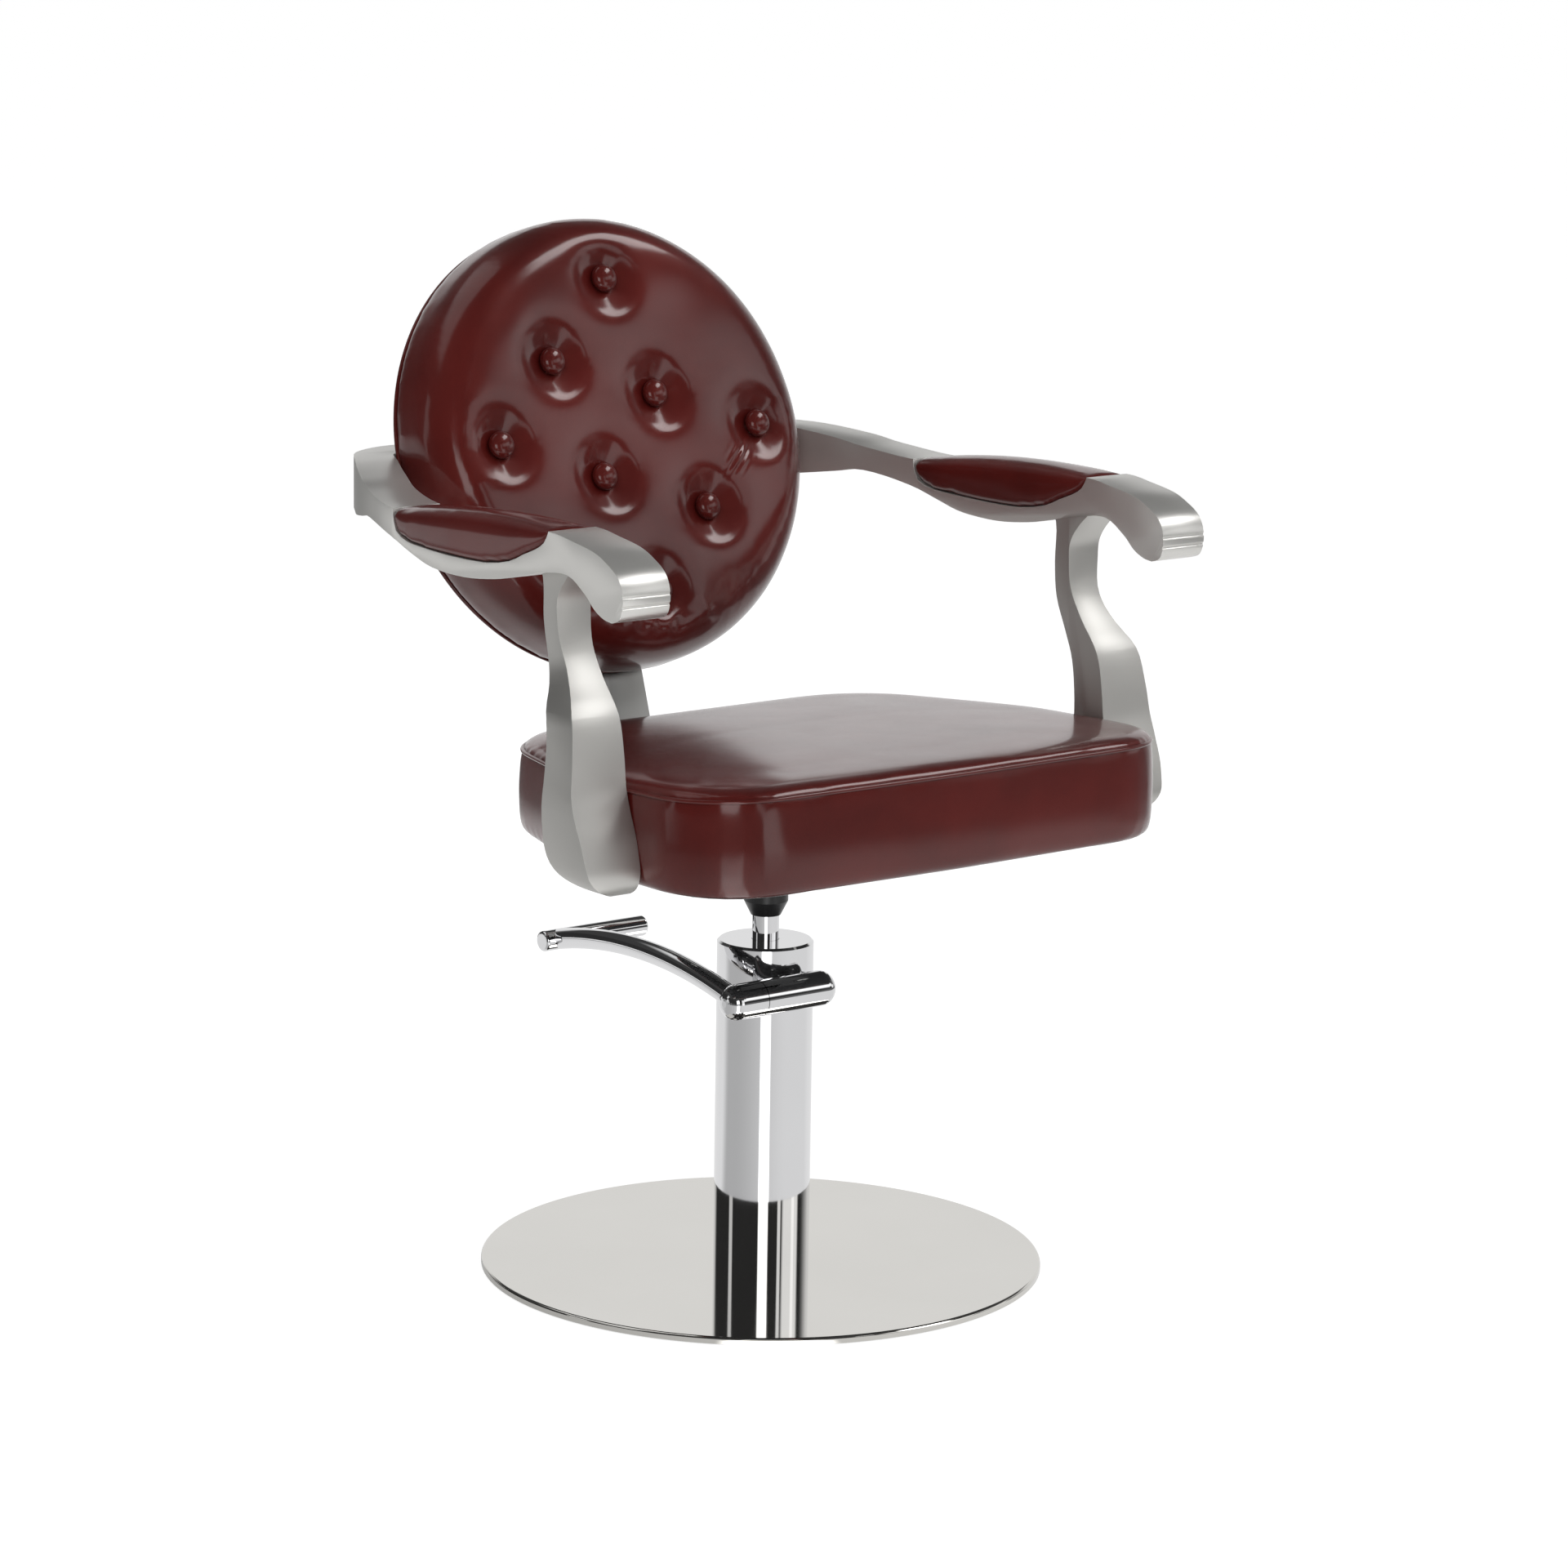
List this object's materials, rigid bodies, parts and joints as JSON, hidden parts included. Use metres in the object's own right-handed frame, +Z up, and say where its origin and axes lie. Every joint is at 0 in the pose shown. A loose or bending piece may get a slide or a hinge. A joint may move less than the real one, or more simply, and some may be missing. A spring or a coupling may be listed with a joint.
{
  "type": "hydraulic styling chair",
  "caption": "Foot-pumped swivel styling chair with round buttoned back, scrolled metal arms, leather seat and round base.",
  "frame": {"origin": "on the column's axis at the floor, at the centre of the base's underside", "axes": "+Z up, the sitter faces -Y, +X to the sitter's left"},
  "size_m": [0.7476, 0.7094, 1.0634],
  "materials": {
    "rubber": "matt black rubber",
    "cast_iron": "grey casting",
    "base_steel": "polished stainless",
    "chrome": "mirror chrome",
    "black_oxide": "black oxide",
    "machined_steel": "machined",
    "bronze": "bearing bronze",
    "black_paint": "satin black paint",
    "zinc": "zinc plated",
    "plywood": "birch plywood",
    "black_cloth": "black non-woven cloth",
    "leather": "glossy oxblood leather",
    "satin_alloy": "satin polished",
    "satin_steel": "satin stainless"
  },
  "bodies": {
    "stand": {"floor_mat": "rubber", "base_weight": "cast_iron", "base_cover": "base_steel", "base_bolts": "black_oxide", "pump_foot": "cast_iron", "reservoir": "cast_iron", "lift_cylinder": "machined_steel", "pump_head": "cast_iron", "guide_bush": "bronze", "wiper_seal": "rubber", "gland_nut": "machined_steel", "release_valve": "bronze", "plunger_spring": "machined_steel", "column_cover": "chrome", "column_cap": "chrome", "pivot_housing": "chrome", "shaft_bushes": "bronze"},
    "plunger": {"plunger": "machined_steel"},
    "lever": {"lever_shaft": "machined_steel", "lever_hub": "chrome", "hub_screw": "black_oxide", "lever_arm": "chrome", "pedal_bar": "chrome", "pedal_caps": "chrome"},
    "piston": {"piston": "machined_steel", "piston_seal": "rubber"},
    "seat": {"ram": "chrome", "seat_collar": "black_paint", "collar_bolt": "zinc", "mount_plate": "black_paint", "seat_rails": "black_paint", "plate_bolts": "zinc", "rail_screws": "zinc", "seat_board": "plywood", "side_blocks": "plywood", "dust_cover": "black_cloth", "seat_cushion": "leather", "back_bar": "satin_steel", "bar_bolts": "zinc", "back_board": "plywood", "back_cushion": "leather", "back_buttons": "leather", "back_panel": "leather", "arm_left": "satin_alloy", "arm_right": "satin_alloy", "arm_pad_left": "leather", "arm_pad_right": "leather", "upright_left": "satin_alloy", "upright_right": "satin_alloy", "upright_bolts": "zinc", "arm_bracket_left": "black_paint", "arm_bracket_right": "black_paint", "arm_bolts": "zinc"}
  },
  "joints": [
    {"name": "seat_lift", "type": "slide", "parent": "stand", "child": "piston", "axis": [0, 0, 1], "range_m": [0, 0.15]},
    {"name": "seat_swivel", "type": "hinge", "parent": "piston", "child": "seat", "pos_m": [0, 0, 0.3], "axis": [0, 0, 1], "continuous": true},
    {"name": "foot_lever", "type": "hinge", "parent": "stand", "child": "lever", "pos_m": [0, -0.0695, 0.305], "axis": [-1, 0, 0], "range_deg": [0, 20], "stiffness_Nm_per_rad": 20, "springref_deg": -34.38},
    {"name": "pump_stroke", "type": "slide", "parent": "stand", "child": "plunger", "axis": [0, 0, -1], "range_m": [0, 0.01434], "deforming": ["plunger_spring"]}
  ],
  "couplings": [
    {"joint": "pump_stroke", "follows": "foot_lever", "m_per_rad": 0.0405}
  ]
}
